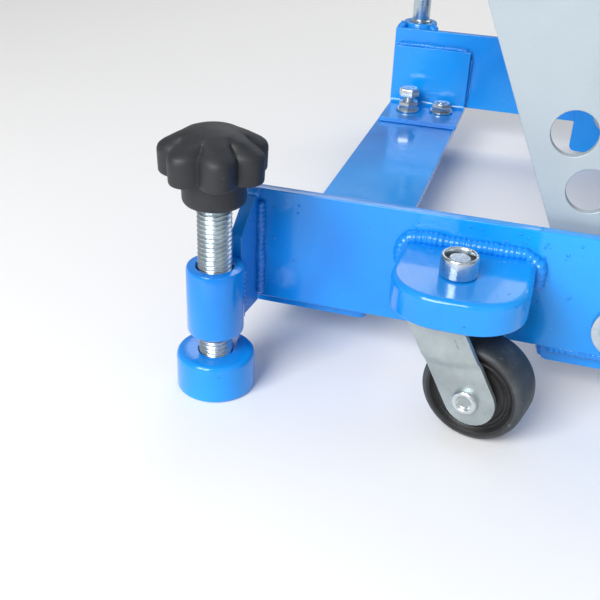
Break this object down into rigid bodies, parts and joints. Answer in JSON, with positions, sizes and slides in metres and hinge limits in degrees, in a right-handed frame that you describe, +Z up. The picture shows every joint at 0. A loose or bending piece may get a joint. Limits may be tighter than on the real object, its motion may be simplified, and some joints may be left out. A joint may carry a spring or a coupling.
{
  "type": "car_jack",
  "caption": "Blue trolley floor jack: rail frame, silver parallelogram arms, hydraulic ram with foot pump, star-knob levelling feet, swivel casters and fixed wheels",
  "frame": {"origin": "middle of the footprint, on the floor that the wheels and levelling feet stand on", "axes": "+X along the rails from the levelling-foot end to the fixed-wheel and pedal end, +Y across the frame from the gusset side to the other side, +Z up"},
  "size_m": [0.7748, 0.5294, 0.4196],
  "materials": {
    "blue_enamel": "glossy sprayed enamel",
    "silver_paint": "satin silver-grey paint",
    "zinc_steel": "bright zinc plate",
    "stamped_steel": "dull zinc-plated stamping",
    "chrome_rod": "ground and chromed",
    "dark_steel": "dark oiled steel",
    "black_plastic": "moulded matt black",
    "black_rubber": "dusty black rubber"
  },
  "bodies": {
    "base": {"rail_front": "blue_enamel", "rail_rear": "blue_enamel", "doubler_front": "blue_enamel", "doubler_rear": "blue_enamel", "cross_plate": "blue_enamel", "angle_front": "blue_enamel", "angle_rear": "blue_enamel", "end_member": "blue_enamel", "gusset_front": "blue_enamel", "sleeve_front": "blue_enamel", "sleeve_rear": "blue_enamel", "caster_bracket_front": "blue_enamel", "caster_bracket_rear": "blue_enamel", "ram_cylinder": "blue_enamel", "ram_cradle": "blue_enamel", "bolt_rear_left": "zinc_steel", "bolt_rear_right": "zinc_steel", "bolt_front_left": "zinc_steel", "bolt_front_right": "zinc_steel", "caster_stem_front": "zinc_steel", "caster_stem_rear": "zinc_steel", "caster_nut_front": "zinc_steel", "caster_nut_rear": "zinc_steel", "washer_a_front": "zinc_steel", "washer_a_rear": "zinc_steel", "wheel_axle": "zinc_steel", "pump_pipe": "zinc_steel", "shaft_a": "dark_steel", "shaft_b": "dark_steel", "pump_block": "dark_steel"},
    "arms_a": {"arm_a_front": "silver_paint", "arm_a_rear": "silver_paint"},
    "arms_b": {"arm_b_front": "silver_paint", "arm_b_rear": "silver_paint", "push_bar": "silver_paint"},
    "platform": {"platform_bar_front": "blue_enamel", "platform_bar_rear": "blue_enamel", "platform_shaft_a": "zinc_steel", "platform_shaft_b": "zinc_steel", "saddle_beam_left": "blue_enamel", "saddle_beam_right": "blue_enamel", "saddle_pad_left": "black_rubber", "saddle_pad_right": "black_rubber"},
    "ram_rod": {"ram_piston": "chrome_rod"},
    "pad_front": {"foot_pad_front": "blue_enamel"},
    "screw_front": {"foot_screw_front": "zinc_steel", "knob_front": "black_plastic"},
    "pad_rear": {"foot_pad_rear": "blue_enamel"},
    "screw_rear": {"foot_screw_rear": "zinc_steel", "knob_rear": "black_plastic"},
    "swivel_front": {"caster_fork_front": "stamped_steel"},
    "roller_front": {"caster_wheel_front": "black_rubber"},
    "swivel_rear": {"caster_fork_rear": "stamped_steel"},
    "roller_rear": {"caster_wheel_rear": "black_rubber"},
    "front_wheel": {"wheel_front": "black_rubber"},
    "rear_wheel": {"wheel_rear": "black_rubber"},
    "pedal": {"pump_pedal": "blue_enamel"},
    "plunger": {"pump_plunger": "chrome_rod"},
    "release": {"release_knob": "black_plastic"}
  },
  "joints": [
    {"name": "lift_swing", "type": "hinge", "parent": "base", "child": "arms_a", "pos_m": [-0.15757, 0.00491, 0.051], "axis": [0, 1, 0], "range_deg": [-54, 6]},
    {"name": "crank_swing", "type": "hinge", "parent": "base", "child": "arms_b", "pos_m": [0.14243, 0.00491, 0.051], "axis": [0, 1, 0], "range_deg": [-54, 6]},
    {"name": "platform_level", "type": "hinge", "parent": "arms_a", "child": "platform", "pos_m": [-0.28757, 0.00491, 0.35431], "axis": [0, 1, 0], "range_deg": [-6, 54]},
    {"name": "ram_stroke", "type": "slide", "parent": "base", "child": "ram_rod", "axis": [0.9659, 0, 0.2588], "range_m": [-0.0864, 0.01]},
    {"name": "foot_lift_front", "type": "slide", "parent": "base", "child": "pad_front", "axis": [0, 0, 1], "range_m": [0, 0.01]},
    {"name": "screw_turn_front", "type": "hinge", "parent": "pad_front", "child": "screw_front", "pos_m": [-0.36207, -0.23784, 0.084], "axis": [0, 0, 1], "range_deg": [-1, 1441]},
    {"name": "foot_lift_rear", "type": "slide", "parent": "base", "child": "pad_rear", "axis": [0, 0, 1], "range_m": [0, 0.01]},
    {"name": "screw_turn_rear", "type": "hinge", "parent": "pad_rear", "child": "screw_rear", "pos_m": [-0.34257, 0.21996, 0.084], "axis": [0, 0, 1], "range_deg": [-1, 1441]},
    {"name": "caster_swivel_front", "type": "hinge", "parent": "base", "child": "swivel_front", "pos_m": [-0.24057, -0.22684, 0.064], "axis": [0, 0, 1], "range_deg": [-190, 40]},
    {"name": "caster_roll_front", "type": "hinge", "parent": "swivel_front", "child": "roller_front", "pos_m": [-0.22262, -0.23132, 0.027], "axis": [0.2419, 0.9703, 0], "continuous": true},
    {"name": "caster_swivel_rear", "type": "hinge", "parent": "base", "child": "swivel_rear", "pos_m": [-0.17057, 0.23666, 0.064], "axis": [0, 0, 1], "range_deg": [-30, 175]},
    {"name": "caster_roll_rear", "type": "hinge", "parent": "swivel_rear", "child": "roller_rear", "pos_m": [-0.15262, 0.24113, 0.027], "axis": [-0.2419, 0.9703, 0], "continuous": true},
    {"name": "wheel_roll_front", "type": "hinge", "parent": "base", "child": "front_wheel", "pos_m": [0.22543, -0.21974, 0.05], "axis": [0, 1, 0], "continuous": true},
    {"name": "wheel_roll_rear", "type": "hinge", "parent": "base", "child": "rear_wheel", "pos_m": [0.22543, 0.22956, 0.05], "axis": [0, 1, 0], "continuous": true},
    {"name": "pedal_press", "type": "hinge", "parent": "base", "child": "pedal", "pos_m": [0.21143, -0.01009, 0.152], "axis": [0, 1, 0], "range_deg": [0, 14], "stiffness_Nm_per_rad": 4, "springref_deg": -11.46},
    {"name": "plunger_stroke", "type": "slide", "parent": "base", "child": "plunger", "axis": [0, 0, 1], "range_m": [-0.0075, 0]},
    {"name": "release_turn", "type": "hinge", "parent": "base", "child": "release", "pos_m": [0.25943, -0.05984, 0.102], "axis": [1, 0, 0], "range_deg": [0, 180]}
  ],
  "couplings": [
    {"joint": "crank_swing", "follows": "lift_swing", "ratio": 1},
    {"joint": "platform_level", "follows": "lift_swing", "ratio": -1},
    {"joint": "ram_stroke", "follows": "lift_swing", "m_per_rad": 0.0911},
    {"joint": "screw_turn_front", "follows": "foot_lift_front", "rad_per_m": 2513.3},
    {"joint": "screw_turn_rear", "follows": "foot_lift_rear", "rad_per_m": 2513.3},
    {"joint": "plunger_stroke", "follows": "pedal_press", "m_per_rad": -0.0296}
  ]
}
